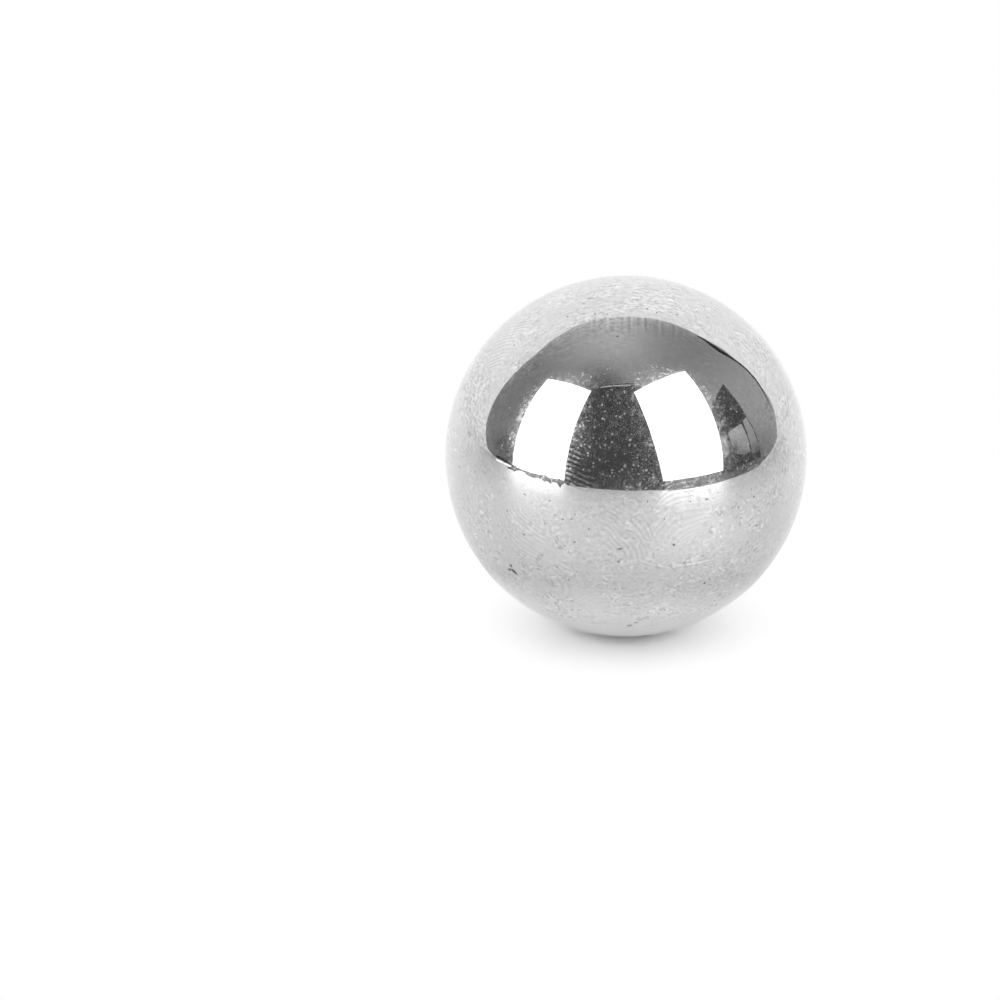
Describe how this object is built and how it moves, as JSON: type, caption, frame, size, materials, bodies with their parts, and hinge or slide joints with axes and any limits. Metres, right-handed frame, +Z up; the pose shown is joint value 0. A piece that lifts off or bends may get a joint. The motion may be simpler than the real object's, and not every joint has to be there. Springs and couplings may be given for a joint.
{
  "type": "steel ball",
  "caption": "Solid polished steel ball, a plain sphere for bearings, ball valves, rollers, gauging or grinding.",
  "frame": {"origin": "centre of the ball", "axes": "+Z up, away from the surface that the ball lies on; -Y towards the side whose small marks were modelled from sight; every axis through the centre is an axis of symmetry"},
  "size_m": [0.0318, 0.0318, 0.0318],
  "materials": {
    "polished_steel": "bare steel polished to a mirror, with fine wipe marks, finger smudges and small pits"
  },
  "bodies": {
    "root": {"ball": "polished_steel"}
  },
  "joints": []
}
